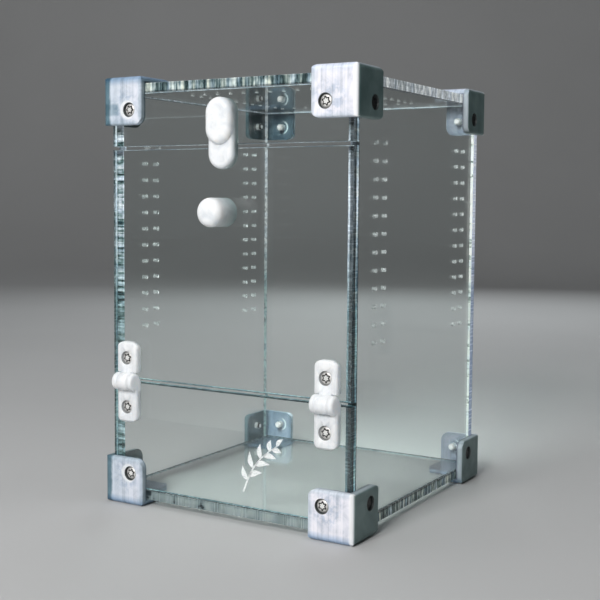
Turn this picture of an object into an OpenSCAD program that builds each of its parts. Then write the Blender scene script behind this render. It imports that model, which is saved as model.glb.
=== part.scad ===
// Clear keeper for small pets: flat clear sheets held at the eight corners by
// printed three-plate brackets, with a drop-down front door on two leaf hinges,
// a turn latch above the door and a round pull knob.
// Axes: X left to right, the door faces -Y, Z up. z = 0 is the underside of the
// four bottom brackets, and the origin is the centre of the overall footprint.

/* [Case] */
// Outside width of the sheet box
box_w = 120; // [110:1:150]
// Outside depth of the sheet box
box_d = 126; // [115:1:160]
// Outside height of the sheet box, without the bracket plates
box_h = 182; // [176:1:220]
// Thickness of the clear sheets
sheet_t = 4; // [3.5:0.25:4.5]
// Air gap left between neighbouring sheets
sheet_gap = 0.05; // [0.03:0.01:0.1]

/* [Door] */
// Height of the hinge line above the underside of the case
hinge_z = 55.4; // [50:0.1:60]
// Height of the door's top edge above the underside of the case
door_top_z = 156.6; // [150:0.1:157]
// Gap above and below the door
door_gap = 1.4; // [1.2:0.1:1.8]

/* [Corner brackets] */
// Thickness of the bracket plates
plate_t = 3; // [2.6:0.1:3.2]
// Left-right length of a bracket, from its outside corner
leg_x = 21.1; // [20:0.1:24]
// Front-rear length of a bracket, from its outside corner
leg_y = 22.1; // [20:0.1:24]
// Height of a bracket, from its outside corner
leg_z = 20.9; // [20:0.1:24]
// Radius of the free corner of each plate
free_r = 4.2; // [2:0.1:5]
// Radius of the outer corner at the free end of the front and rear plates
end_r = 2.5; // [1:0.1:2.6]
// The same radius on the side plates
side_end_r = 4.2; // [2:0.1:5]
// Small radius along the free edges of the plates
tip_r = 1.2; // [0.5:0.1:2]
// Radius of the level outside edges
edge_r = 2.5; // [1:0.1:2.6]
// Radius of the upright outside edge
upright_r = 2.4; // [1:0.1:3.6]
// Distance of each screw from the bracket's outside faces
screw_in = 14.4; // [13.5:0.1:14.6]

/* [Hinges] */
// Distance of each hinge from the middle of the door
hinge_x = 50; // [35:0.5:50]
// Width of a hinge leaf
leaf_w = 10.5; // [10:0.1:13]
// Thickness of a hinge leaf
leaf_t = 3.5; // [3.3:0.1:3.6]
// Length of the strip-side leaf from the hinge line
leaf_len = 18.2; // [17:0.1:21]
// Length of the door-side leaf from the hinge line
door_leaf_len = 17.5; // [17:0.1:21]
// Radius of the hinge barrel
barrel_r = 3.8; // [3.5:0.1:3.85]
// Width of the middle knuckle
knuckle_w = 5; // [4.5:0.1:5.2]
// Height of the door-side screw above the hinge line
leaf_screw_up = 10.3; // [10:0.1:12]
// Depth of the strip-side screw below the hinge line
leaf_screw_down = 11.4; // [10.5:0.1:12]

/* [Latch and knob] */
// Height of the latch pivot
latch_z = 170.7; // [168:0.1:171]
// Width of the latch
latch_w = 12.6; // [11:0.1:13]
// Reach of the latch below its pivot, to its bottom end
latch_reach = 23; // [20:0.1:24]
// Reach of the raised grip below the pivot
grip_reach = 13; // [11:0.1:13.5]
// Thickness of the thin part of the latch
latch_t = 4.5; // [4.3:0.1:4.8]
// Thickness of the raised grip, from the door plane
grip_t = 7; // [6.6:0.1:7.4]
// Height of the knob above the underside of the case
knob_z = 130; // [110:0.1:135]
// Radius of the knob
knob_r = 6; // [5.5:0.05:7]
// Length of the knob
knob_len = 13.5; // [13:0.1:16]
// Radius of the knob's front edge
knob_edge = 3; // [1:0.1:3.2]

/* [Vents] */
// Radius of an air hole
vent_r = 0.8; // [0.5:0.05:1]
// Number of air holes in each column of a side panel
vent_rows = 12; // [8:1:12]
// Height of the top row of side air holes
vent_top_z = 158.5; // [150:0.5:160]
// Distance between rows
vent_pitch = 7.35; // [6:0.05:7.5]
// Holes along the left-right sides of the ring in the top panel
ring_nx = 11; // [7:1:11]
// Holes along the front-rear sides of the ring in the top panel
ring_ny = 12; // [7:1:12]

/* [Hidden] */

$fn = 48;
eps = 0.01;

// Depth the knob adds in front, and the shift that centres the footprint
y_shift = (knob_len - plate_t) / 2;
z_floor = plate_t;                 // underside of the base panel
z_roof = plate_t + box_h;          // top of the top panel
y_front = -box_d / 2;              // outside face of the front sheets
y_rear = box_d / 2;
x_side = box_w / 2;
inner_z0 = z_floor + sheet_t;      // top of the base panel
inner_z1 = z_roof - sheet_t;       // underside of the top panel
hole_in = screw_in - plate_t;      // screw distance from the sheets' outside faces

// Fasteners: M3 button-head screws with a hex socket, in holes tapped in the sheets
shank_r = 1.5;
clear_r = 1.65;
tap_r = 1.54;
head_r = 2.85;
head_h = 1.65;
bore_r = 3.05;
leaf_head_r = 2.7;                 // heads and bores on the hinge leaves are a little smaller
leaf_bore_r = 2.85;
seat = 0.05;                       // bracket and leaf stand-off from the sheet
corner_seat = plate_t - 1.75;      // head seat, outwards from the sheet's face
short_screw = 6;

// Hinge line in front of the door plane
axis_y = 4.0;
leaf_back = axis_y - seat;         // back of a leaf, behind the hinge line
leaf_front = axis_y - leaf_t;      // front face of a leaf
knuckle_gap = 0.15;
leaf_edge = barrel_r + 0.25;       // where a leaf is cut away round the other's knuckles
pin_r = 1.0;
pin_run = 0.06;                    // running clearance round the pin
leaf_seat = leaf_t - 1.8;          // head seat above the sheet's face
blend_r = 1.2;                     // concave blend from barrel to leaf
leaf_round = 1;                    // rounding of a leaf's front edges and barrel ends

CLEAR = [0.80, 0.92, 0.92, 0.35];
PRINT = [0.93, 0.94, 0.95];
STEEL = [0.72, 0.72, 0.70];

// ---------- helpers ----------

// Rectangle from the origin with four corner radii: lower left, lower right,
// upper right, upper left
module rect4(w, h, r) {
    polygon([[r[0], 0], [w - r[1], 0], [w, r[1]], [w, h - r[2]],
             [w - r[2], h], [r[3], h], [0, h - r[3]], [0, r[0]]]);
    translate([r[0], r[0]]) circle(r[0]);
    translate([w - r[1], r[1]]) circle(r[1]);
    translate([w - r[2], h - r[2]]) circle(r[2]);
    translate([r[3], h - r[3]]) circle(r[3]);
}

// Turns a shape drawn along +Z so that +Z points out of the named face
module facing(side) {
    if (side == "front") rotate([90, 0, 0]) children();
    if (side == "rear") rotate([-90, 0, 0]) children();
    if (side == "right") rotate([0, 90, 0]) children();
    if (side == "left") rotate([0, -90, 0]) children();
}

// Sheet given by its low corner and size
module sheet(lo, size) {
    translate(lo) cube(size);
}

// Button-head screw: seat at z = 0, head above, shank below
module button_screw(len, hr = head_r) {
    difference() {
        union() {
            intersection() {
                cylinder(h = head_h, r = hr);
                translate([0, 0, head_h - 3.8]) sphere(r = 3.8);
            }
            translate([0, 0, -len + 0.35]) cylinder(h = len - 0.35 + eps, r = shank_r);
            translate([0, 0, -len]) cylinder(h = 0.35, r1 = shank_r - 0.35, r2 = shank_r);
        }
        translate([0, 0, head_h - 1.1]) cylinder(h = 2, r = 1 / cos(30), $fn = 6);
    }
}

// Stadium plate standing in the XZ plane: back at y = 0, front edges rounded.
// Runs from z1 (lower arc centre) to z2 (upper arc centre)
module stadium(w, z1, z2, t, er) {
    module profile() {
        polygon([[0, 0], [w / 2, 0], [w / 2, t - er], [w / 2 - er, t], [0, t]]);
        translate([w / 2 - er, t - er]) circle(er);
    }
    module half() { intersection() { profile(); square([w, t + 1]); } }
    for (z = [z1, z2]) translate([0, 0, z]) rotate([90, 0, 0]) rotate_extrude() half();
    translate([0, 0, z1]) linear_extrude(z2 - z1) mirror([0, 1, 0]) {
        half();
        mirror([1, 0, 0]) half();
    }
}

// ---------- corner brackets ----------

// The bracket in its own corner frame: the sheets fill x, y, z > 0
module bracket_shape() {
    module outline(w, h, r) { translate([-plate_t, -plate_t]) rect4(w, h, r); }
    difference() {
        intersection() {
            translate([0, 0, -plate_t]) linear_extrude(leg_z)
                outline(leg_x, leg_y, [upright_r, tip_r, free_r, tip_r]);
            translate([0, leg_y - plate_t, 0]) rotate([90, 0, 0]) linear_extrude(leg_y)
                outline(leg_x, leg_z, [edge_r, end_r, free_r, tip_r]);
            translate([-plate_t, 0, 0]) rotate([90, 0, 90]) linear_extrude(leg_x)
                outline(leg_y, leg_z, [edge_r, side_end_r, free_r, tip_r]);
        }
        translate([-seat, -seat, -seat]) cube([leg_x, leg_y, leg_z]);
        // screw through the front or rear plate
        translate([hole_in, 0, hole_in]) rotate([90, 0, 0]) {
            translate([0, 0, -1]) cylinder(h = plate_t + 2, r = clear_r);
            translate([0, 0, corner_seat]) cylinder(h = plate_t, r = bore_r);
        }
        // screw through the side plate
        translate([0, hole_in, hole_in]) rotate([0, -90, 0]) {
            translate([0, 0, -1]) cylinder(h = plate_t + 2, r = clear_r);
            translate([0, 0, corner_seat]) cylinder(h = plate_t, r = bore_r);
        }
    }
}

// Places a bracket: sx, sy, sz are -1 or 1 for left/right, front/rear, bottom/top
module bracket(sx, sy, sz) {
    translate([sx * x_side, sy * box_d / 2, sz < 0 ? z_floor : z_roof])
        mirror([sx > 0 ? 1 : 0, 0, 0]) mirror([0, sy > 0 ? 1 : 0, 0])
        mirror([0, 0, sz > 0 ? 1 : 0]) bracket_shape();
}

// Puts children at the four screw places of one upright face, +Z outwards,
// with z = 0 on the sheet's outside face
module corner_places(side) {
    x = x_side - hole_in;
    y = box_d / 2 - hole_in;
    for (s = [-1, 1]) for (z = [z_floor + hole_in, z_roof - hole_in])
        if (side == "front") translate([s * x, y_front, z]) facing(side) children();
        else if (side == "rear") translate([s * x, y_rear, z]) facing(side) children();
        else if (side == "left") translate([-x_side, s * y, z]) facing(side) children();
        else translate([x_side, s * y, z]) facing(side) children();
}

module corner_screws(side) {
    corner_places(side) translate([0, 0, corner_seat]) button_screw(short_screw);
}

module corner_holes(side) {
    corner_places(side) translate([0, 0, -sheet_t - 1]) cylinder(h = sheet_t + 2, r = tap_r);
}

// ---------- clear sheets ----------

module base_sheet() {
    sheet([-x_side, y_front, z_floor], [box_w, box_d, sheet_t]);
}

module top_sheet() {
    px = 68 / (ring_nx - 1);
    py = 76 / (ring_ny - 1);
    difference() {
        sheet([-x_side, y_front, inner_z1], [box_w, box_d, sheet_t]);
        for (s = [-1, 1]) {
            for (i = [0:ring_nx - 1])
                translate([-34 + i * px, s * 38, inner_z1 - 1])
                    cylinder(h = sheet_t + 2, r = vent_r, $fn = 24);
            for (j = [1:ring_ny - 2])
                translate([s * 34, -38 + j * py, inner_z1 - 1])
                    cylinder(h = sheet_t + 2, r = vent_r, $fn = 24);
        }
    }
}

module side_sheet(s) {
    side = s < 0 ? "left" : "right";
    difference() {
        sheet([s < 0 ? -x_side : x_side - sheet_t, y_front + sheet_t + sheet_gap,
               inner_z0 + sheet_gap],
              [sheet_t, box_d - 2 * sheet_t - 2 * sheet_gap,
               inner_z1 - inner_z0 - 2 * sheet_gap]);
        corner_holes(side);
        for (c = [20, 28, box_d - 24, box_d - 16]) for (k = [0:vent_rows - 1])
            translate([s * (x_side + 1), y_front + c, vent_top_z - k * vent_pitch])
                rotate([0, -s * 90, 0]) cylinder(h = sheet_t + 2, r = vent_r, $fn = 24);
    }
}

module rear_sheet() {
    difference() {
        sheet([-x_side, y_rear - sheet_t, inner_z0 + sheet_gap],
              [box_w, sheet_t, inner_z1 - inner_z0 - 2 * sheet_gap]);
        corner_holes("rear");
    }
}

module top_strip() {
    z0 = door_top_z + door_gap;
    difference() {
        sheet([-x_side, y_front, z0], [box_w, sheet_t, inner_z1 - sheet_gap - z0]);
        corner_holes("front");
        translate([0, y_front + sheet_t + 1, latch_z]) rotate([90, 0, 0])
            cylinder(h = sheet_t + 2, r = shank_r + pin_run);
    }
}

module bottom_strip() {
    difference() {
        sheet([-x_side, y_front, inner_z0 + sheet_gap],
              [box_w, sheet_t, hinge_z - door_gap / 2 - inner_z0 - sheet_gap]);
        corner_holes("front");
        for (s = [-1, 1]) translate([s * hinge_x, y_front + sheet_t + 1,
                                     hinge_z - leaf_screw_down])
            rotate([90, 0, 0]) cylinder(h = sheet_t + 2, r = tap_r);
    }
}

module door_sheet() {
    z0 = hinge_z + door_gap / 2;
    difference() {
        sheet([-x_side, y_front, z0], [box_w, sheet_t, door_top_z - z0]);
        for (s = [-1, 1]) translate([s * hinge_x, y_front + sheet_t + 1,
                                     hinge_z + leaf_screw_up])
            rotate([90, 0, 0]) cylinder(h = sheet_t + 2, r = tap_r);
        translate([0, y_front + sheet_t + 1, knob_z]) rotate([90, 0, 0])
            cylinder(h = sheet_t + 2, r = clear_r);
    }
}

// ---------- hinges ----------
// Drawn round the hinge line: X along it, the door plane at y = axis_y.

// Section of a knuckle and its web, for the leaf that goes up (+y = up)
module knuckle_section() {
    zc = sqrt(pow(barrel_r + blend_r, 2) - pow(leaf_front - blend_r, 2));
    k = barrel_r / (barrel_r + blend_r);
    circle(barrel_r);
    translate([leaf_front, 0]) square([leaf_back - leaf_front, leaf_edge + 0.2]);
    difference() {
        polygon([[leaf_front + 0.2, 1], [leaf_front + 0.2, zc], [leaf_front - blend_r, zc],
                 [(leaf_front - blend_r) * k, zc * k]]);
        translate([leaf_front - blend_r, zc]) circle(blend_r);
    }
}

// Space a leaf of the given length keeps to: rounded front edges and barrel ends
module leaf_space(len) {
    e = leaf_round;
    w = leaf_w;
    r = barrel_r + 0.02;
    translate([-w / 2, leaf_front, -1]) linear_extrude(len + 2)
        rect4(w, leaf_t + 2, [e, e, 0.3, 0.3]);
    rotate([0, 90, 0]) rotate_extrude() intersection() {
        union() {
            polygon([[0, -w / 2], [r - e, -w / 2], [r, -w / 2 + e], [r, w / 2 - e],
                     [r - e, w / 2], [0, w / 2]]);
            for (m = [-1, 1]) translate([r - e, m * (w / 2 - e)]) circle(e);
        }
        translate([0, -w]) square([r, 2 * w]);
    }
    translate([-w / 2 + e, -barrel_r - 1, -barrel_r - 1])
        cube([w - 2 * e, barrel_r + leaf_back + 2, len + barrel_r + 3]);
}

// Knuckle between two x values
module knuckle(x0, x1) {
    translate([x0, 0, 0]) rotate([90, 0, 90]) linear_extrude(x1 - x0) knuckle_section();
}

// Leaf plate of the given length that goes up from its cut edge
module leaf_plate(len) {
    r = 3.8;
    h = len - leaf_edge;
    t = leaf_back - leaf_front;
    intersection() {
        translate([-leaf_w / 2, leaf_back, leaf_edge]) rotate([90, 0, 0])
            linear_extrude(t) rect4(leaf_w, h, [0.3, 0.3, r, r]);
        // rounded front edge at the free end
        translate([-leaf_w, leaf_front, leaf_edge - 2]) rotate([90, 0, 90])
            linear_extrude(2 * leaf_w)
                rect4(t + 2, h + 2, [0.3, 0.3, 0.3, leaf_round]);
    }
}

// Holes through a leaf for its screw, at height z
module leaf_holes(z) {
    translate([0, axis_y, z]) rotate([90, 0, 0]) {
        translate([0, 0, -1]) cylinder(h = leaf_t + 2, r = clear_r);
        translate([0, 0, leaf_seat]) cylinder(h = leaf_t, r = leaf_bore_r);
    }
}

// Bore of the pin: open at the left end, blind at the right
module pin_bore(r) {
    translate([-leaf_w, 0, 0]) rotate([0, 90, 0]) cylinder(h = leaf_w * 1.5 - 1, r = r);
}

// Leaf on the door, with the middle knuckle
module door_leaf() {
    difference() {
        intersection() {
            union() {
                leaf_plate(door_leaf_len);
                knuckle(-knuckle_w / 2, knuckle_w / 2);
            }
            leaf_space(door_leaf_len);
        }
        leaf_holes(leaf_screw_up);
        pin_bore(pin_r + pin_run);
    }
}

// Leaf on the bottom strip, with the two outer knuckles
module base_leaf() {
    x0 = knuckle_w / 2 + knuckle_gap;
    difference() {
        mirror([0, 0, 1]) intersection() {
            union() {
                leaf_plate(leaf_len);
                knuckle(-leaf_w / 2, -x0);
                knuckle(x0, leaf_w / 2);
            }
            leaf_space(leaf_len);
        }
        leaf_holes(-leaf_screw_down);
        pin_bore(pin_r + 0.02);
    }
}

module pin() {
    translate([-leaf_w / 2 + 0.3, 0, 0]) rotate([0, 90, 0])
        cylinder(h = leaf_w - 0.3 - 1.1, r = pin_r);
}

module at_hinge(s) {
    translate([s * hinge_x, y_front - axis_y, hinge_z]) children();
}

// Screw places on the hinge leaves at height z, z = 0 on the sheet's face
module leaf_places(z) {
    for (s = [-1, 1]) translate([s * hinge_x, y_front, z]) facing("front") children();
}

// ---------- latch and knob ----------

// Turn latch: a thin stadium with a raised grip on its upper part
module latch_shape() {
    c = latch_w / 2;
    difference() {
        translate([0, y_front - 0.1, latch_z]) {
            stadium(latch_w, -latch_reach + c, 0, latch_t - 0.1, 2);
            stadium(latch_w, -grip_reach + c, 0, grip_t - 0.1, 2.6);
        }
        translate([0, y_front, latch_z]) rotate([90, 0, 0]) cylinder(h = 4.2, r = shank_r + 0.02);
    }
}

// Pull knob: a plain round bar with a rounded front edge
module knob_shape() {
    difference() {
        translate([0, y_front - seat, knob_z]) rotate([90, 0, 0]) rotate_extrude()
            intersection() {
                union() {
                    polygon([[0, 0], [knob_r - 0.25, 0], [knob_r, 0.25],
                             [knob_r, knob_len - seat - knob_edge],
                             [knob_r - knob_edge, knob_len - seat],
                             [0, knob_len - seat]]);
                    translate([knob_r - knob_edge, knob_len - seat - knob_edge])
                        circle(knob_edge);
                }
                square([knob_r, knob_len]);
            }
        translate([0, y_front, knob_z]) rotate([90, 0, 0])
            cylinder(h = 8.2, r = shank_r + 0.02);
    }
}

// ---------- nodes ----------

module centred() { translate([0, y_shift, 0]) children(); }

module base_panel() { color(CLEAR) centred() base_sheet(); }
module top_panel() { color(CLEAR) centred() top_sheet(); }
module left_panel() { color(CLEAR) centred() side_sheet(-1); }
module right_panel() { color(CLEAR) centred() side_sheet(1); }
module rear_panel() { color(CLEAR) centred() rear_sheet(); }
module front_top_strip() { color(CLEAR) centred() top_strip(); }
module front_bottom_strip() { color(CLEAR) centred() bottom_strip(); }
module door_panel() { color(CLEAR) centred() door_sheet(); }

module corner_front_left_bottom() { color(PRINT) centred() bracket(-1, -1, -1); }
module corner_front_right_bottom() { color(PRINT) centred() bracket(1, -1, -1); }
module corner_rear_left_bottom() { color(PRINT) centred() bracket(-1, 1, -1); }
module corner_rear_right_bottom() { color(PRINT) centred() bracket(1, 1, -1); }
module corner_front_left_top() { color(PRINT) centred() bracket(-1, -1, 1); }
module corner_front_right_top() { color(PRINT) centred() bracket(1, -1, 1); }
module corner_rear_left_top() { color(PRINT) centred() bracket(-1, 1, 1); }
module corner_rear_right_top() { color(PRINT) centred() bracket(1, 1, 1); }

module corner_screws_front() { color(STEEL) centred() corner_screws("front"); }
module corner_screws_rear() { color(STEEL) centred() corner_screws("rear"); }
module corner_screws_left() { color(STEEL) centred() corner_screws("left"); }
module corner_screws_right() { color(STEEL) centred() corner_screws("right"); }

module hinge_base_left() { color(PRINT) centred() at_hinge(-1) base_leaf(); }
module hinge_base_right() { color(PRINT) centred() at_hinge(1) base_leaf(); }
module hinge_leaf_left() { color(PRINT) centred() at_hinge(-1) door_leaf(); }
module hinge_leaf_right() { color(PRINT) centred() at_hinge(1) door_leaf(); }
module hinge_pin_left() { color(STEEL) centred() at_hinge(-1) pin(); }
module hinge_pin_right() { color(STEEL) centred() at_hinge(1) pin(); }
module hinge_base_screws() {
    color(STEEL) centred() leaf_places(hinge_z - leaf_screw_down)
        translate([0, 0, leaf_seat]) button_screw(short_screw, leaf_head_r);
}
module hinge_leaf_screws() {
    color(STEEL) centred() leaf_places(hinge_z + leaf_screw_up)
        translate([0, 0, leaf_seat]) button_screw(short_screw, leaf_head_r);
}

module pull_knob() { color(PRINT) centred() knob_shape(); }
module knob_screw() {
    color(STEEL) centred() translate([0, y_front + sheet_t + seat, knob_z])
        facing("rear") button_screw(12);
}
module turn_latch() { color(PRINT) centred() latch_shape(); }
module latch_screw() {
    color(STEEL) centred() translate([0, y_front + sheet_t + 0.1, latch_z])
        facing("rear") button_screw(8);
}

base_panel();
top_panel();
left_panel();
right_panel();
rear_panel();
front_top_strip();
front_bottom_strip();
corner_front_left_bottom();
corner_front_right_bottom();
corner_rear_left_bottom();
corner_rear_right_bottom();
corner_front_left_top();
corner_front_right_top();
corner_rear_left_top();
corner_rear_right_top();
corner_screws_front();
corner_screws_rear();
corner_screws_left();
corner_screws_right();
hinge_base_left();
hinge_base_right();
hinge_pin_left();
hinge_pin_right();
hinge_base_screws();
door_panel();
hinge_leaf_left();
hinge_leaf_right();
hinge_leaf_screws();
pull_knob();
knob_screw();
turn_latch();
latch_screw();
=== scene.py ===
import math
import random

import bmesh
import bpy
from mathutils import Matrix, Vector


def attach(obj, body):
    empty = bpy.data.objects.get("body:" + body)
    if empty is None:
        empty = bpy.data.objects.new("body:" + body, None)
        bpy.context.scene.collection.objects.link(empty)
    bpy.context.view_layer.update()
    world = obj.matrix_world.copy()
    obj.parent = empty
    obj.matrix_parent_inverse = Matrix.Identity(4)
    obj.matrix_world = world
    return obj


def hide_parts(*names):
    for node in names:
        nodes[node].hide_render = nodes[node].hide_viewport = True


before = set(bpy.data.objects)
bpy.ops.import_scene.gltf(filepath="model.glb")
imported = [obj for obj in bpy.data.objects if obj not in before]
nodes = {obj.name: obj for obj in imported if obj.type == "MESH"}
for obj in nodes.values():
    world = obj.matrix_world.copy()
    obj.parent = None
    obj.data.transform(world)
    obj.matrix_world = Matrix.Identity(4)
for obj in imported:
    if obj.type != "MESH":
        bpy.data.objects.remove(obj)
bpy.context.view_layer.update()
scene = bpy.context.scene
MM = 0.001

# ---------------------------------------------------------------- camera
# Lens and place worked out from the photograph; row frame, metres.
AZ, EL, ROLL = math.radians(30.75), math.radians(4.03), math.radians(0.42)
fw = Vector((-math.sin(AZ) * math.cos(EL), math.cos(AZ) * math.cos(EL), -math.sin(EL)))
right = Vector((math.cos(AZ), math.sin(AZ), 0))
up = right.cross(fw)
cr = right * math.cos(ROLL) + up * math.sin(ROLL)
cu = -right * math.sin(ROLL) + up * math.cos(ROLL)
cam_data = bpy.data.cameras.new("camera")
cam = bpy.data.objects.new("camera", cam_data)
scene.collection.objects.link(cam)
cam_data.sensor_width = 36
cam_data.lens = 1082.905 / 600 * 36
cam_data.shift_y = -0.0395
cam_data.clip_start, cam_data.clip_end = 0.01, 20
m = Matrix((cr, cu, -fw)).transposed().to_4x4()
m.translation = Vector((0.255945, -0.427231, 0.135305))
cam.matrix_world = m
scene.camera = cam


# ---------------------------------------------------------------- material helpers
class Tree:
    """Small helper for building node materials."""

    def __init__(self, name):
        self.mat = bpy.data.materials.new(name)
        self.mat.use_nodes = True
        self.nt = self.mat.node_tree
        self.nt.nodes.clear()
        self.out = self.nt.nodes.new("ShaderNodeOutputMaterial")

    def new(self, kind, **values):
        n = self.nt.nodes.new(kind)
        for k, v in values.items():
            setattr(n, k, v)
        return n

    def link(self, a, b):
        self.nt.links.new(a, b)

    def coords(self, scale=(1, 1, 1), offset=(0, 0, 0), rot=(0, 0, 0)):
        geo = self.new("ShaderNodeTexCoord")
        mp = self.new("ShaderNodeMapping")
        mp.inputs["Scale"].default_value = scale
        mp.inputs["Location"].default_value = offset
        mp.inputs["Rotation"].default_value = rot
        self.link(geo.outputs["Object"], mp.inputs["Vector"])
        return mp.outputs["Vector"]

    def noise(self, vec, scale, detail=4, rough=0.55, distortion=0.0):
        n = self.new("ShaderNodeTexNoise")
        n.inputs["Scale"].default_value = scale
        n.inputs["Detail"].default_value = detail
        n.inputs["Roughness"].default_value = rough
        n.inputs["Distortion"].default_value = distortion
        self.link(vec, n.inputs["Vector"])
        return n.outputs["Fac"]

    def ramp(self, fac, stops):
        r = self.new("ShaderNodeValToRGB")
        e = r.color_ramp.elements
        while len(e) < len(stops):
            e.new(0.5)
        for el, (pos, col) in zip(e, stops):
            el.position = pos
            el.color = (*col, 1) if len(col) == 3 else col
        self.link(fac, r.inputs["Fac"])
        return r.outputs["Color"]

    def range(self, fac, lo, hi, a, b):
        r = self.new("ShaderNodeMapRange")
        for name, v in (("From Min", lo), ("From Max", hi), ("To Min", a), ("To Max", b)):
            r.inputs[name].default_value = v
        self.link(fac, r.inputs["Value"])
        return r.outputs["Result"]

    def math(self, op, a, b=None):
        n = self.new("ShaderNodeMath", operation=op)
        for i, v in enumerate((a, b)):
            if v is None:
                continue
            if isinstance(v, (int, float)):
                n.inputs[i].default_value = v
            else:
                self.link(v, n.inputs[i])
        return n.outputs[0]

    def bump(self, height, strength, distance, normal=None):
        b = self.new("ShaderNodeBump")
        b.inputs["Strength"].default_value = strength
        b.inputs["Distance"].default_value = distance
        self.link(height, b.inputs["Height"])
        if normal is not None:
            self.link(normal, b.inputs["Normal"])
        return b.outputs["Normal"]

    def bsdf(self, **values):
        p = self.new("ShaderNodeBsdfPrincipled")
        for k, v in values.items():
            p.inputs[k].default_value = v
        return p


def clear_sheet():
    """Polished face of the clear sheet: faint haze, fine dust and wipe marks."""
    t = Tree("clear_sheet")
    p = t.bsdf(**{"Base Color": (0.965, 0.992, 0.985, 1), "Transmission Weight": 1.0, "IOR": 1.49,
                  "Roughness": 0.02})
    v = t.coords()
    haze = t.noise(v, 26, 5, 0.6, 0.6)
    dust = t.noise(t.coords((1, 1, 1), (3, 1, 2)), 900, 2, 0.5)
    rough = t.math("ADD", t.range(haze, 0.35, 0.75, 0.006, 0.035), t.range(dust, 0.70, 0.80, 0.0, 0.12))
    t.link(rough, p.inputs["Roughness"])
    wave = t.noise(t.coords((1, 1, 0.6)), 9, 2, 0.4)
    t.link(t.bump(wave, 0.06, 0.0006), p.inputs["Normal"])
    lp = t.new("ShaderNodeLightPath")
    tr = t.new("ShaderNodeBsdfTransparent")
    tr.inputs["Color"].default_value = (0.90, 0.935, 0.93, 1)
    mix = t.new("ShaderNodeMixShader")
    t.link(lp.outputs["Is Shadow Ray"], mix.inputs["Fac"])
    t.link(p.outputs["BSDF"], mix.inputs[1])
    t.link(tr.outputs["BSDF"], mix.inputs[2])
    t.link(mix.outputs["Shader"], t.out.inputs["Surface"])
    return t.mat


# centre of the box and middle of its sheets on each side of it, in mm, for each axis
MIDDLE = ((0.0, 58.0), (5.25, 61.0), (94.0, 89.0))


# looks of a cut edge: weights of bars, ribs, beads and long lines, colour stops, painted highlight
# and shade across the thickness from the outer arris (-1) to the inner one (1), how much the hue varies,
# and the painted glow that stands in for light piped along the sheet, overall and on its brightest line
EDGE_LOOKS = {
    "bars": ((0.50, 0.20, 0.28, 0.0),
             [(0.43, (0.02, 0.04, 0.045)), (0.48, (0.12, 0.18, 0.19)), (0.53, (0.36, 0.43, 0.44)),
              (0.60, (0.80, 0.87, 0.84))],
             [(-1.0, 0.85), (-0.80, 0.80), (-0.62, 0.60), (0.0, 0.95), (0.60, 0.90), (0.80, 0.35), (1.0, 0.35)],
             1.0, 0.16, 0.16),
    "pale": ((0.0, 0.0, 0.82, 0.18),
             [(0.40, (0.26, 0.30, 0.32)), (0.47, (0.44, 0.48, 0.52)), (0.54, (0.62, 0.66, 0.71)),
              (0.62, (0.90, 0.94, 0.96))],
             [(-1.0, 1.0), (-0.80, 0.95), (-0.6, 0.80), (0.0, 0.85), (0.70, 0.8), (0.85, 1.0), (1.0, 1.0)],
             0.35, 0.34, 0.34),
    "soft": ((0.0, 0.0, 0.90, 0.10),
             [(0.37, (0.015, 0.025, 0.03)), (0.42, (0.20, 0.26, 0.27)), (0.52, (0.26, 0.325, 0.33)),
              (0.64, (0.34, 0.41, 0.41))],
             [(-1.0, 0.7), (-0.80, 0.95), (0.0, 1.0), (0.60, 1.0), (0.80, 0.70), (1.0, 1.25)],
             0.2, 0.06, 0.06),
    "calm": ((0.03, 0.03, 0.24, 0.70),
             [(0.40, (0.14, 0.18, 0.20)), (0.49, (0.30, 0.33, 0.38)), (0.58, (0.42, 0.45, 0.52)),
              (0.66, (0.60, 0.64, 0.70))],
             [(-1.0, 0.14), (0.30, 0.20), (0.48, 0.34), (0.60, 0.95), (1.0, 1.0)],
             0.25, 0.06, 0.06),
    "ticked": ((0.44, 0.16, 0.28, 0.12),
               [(0.43, (0.01, 0.03, 0.035)), (0.48, (0.10, 0.16, 0.16)), (0.53, (0.38, 0.42, 0.48)),
                (0.61, (0.66, 0.69, 0.76))],
               [(-1.0, 0.35), (-0.80, 0.55), (-0.50, 0.8), (-0.05, 1.05), (0.25, 0.85), (0.62, 0.55), (0.76, 1.0),
                (1.0, 1.0)],
               0.4, 0.08, 0.30),
    "lines": ((0.08, 0.08, 0.22, 0.62),
              [(0.42, (0.08, 0.12, 0.15)), (0.48, (0.26, 0.34, 0.38)), (0.54, (0.48, 0.56, 0.60)),
               (0.62, (0.78, 0.84, 0.86))],
              [(-1.0, 0.30), (-0.86, 0.40), (-0.74, 0.85), (-0.52, 0.75), (-0.38, 0.18), (-0.05, 0.22),
               (0.08, 1.0), (1.0, 1.0)],
              0.5, 0.05, 0.85),
    # bright and glint, for the upright edges at the rear right, carry the strongest painted glow, a painted
    # highlight on that corner
    "bright": ((0.04, 0.06, 0.30, 0.60),
               [(0.36, (0.46, 0.51, 0.62)), (0.46, (0.58, 0.63, 0.74)), (0.56, (0.74, 0.79, 0.90)),
                (0.64, (0.92, 0.96, 1.0))],
               [(-1.0, 0.80), (1.0, 1.0)],
               0.2, 0.55, 0.55),
    "glint": ((0.46, 0.24, 0.30, 0.0),
              [(0.36, (0.10, 0.14, 0.13)), (0.42, (0.45, 0.52, 0.48)), (0.47, (0.95, 1.0, 0.96)),
               (0.64, (1.0, 1.0, 0.98))],
              [(-1.0, 1.0), (1.0, 1.0)],
              0.3, 0.70, 0.70),
}


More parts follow.
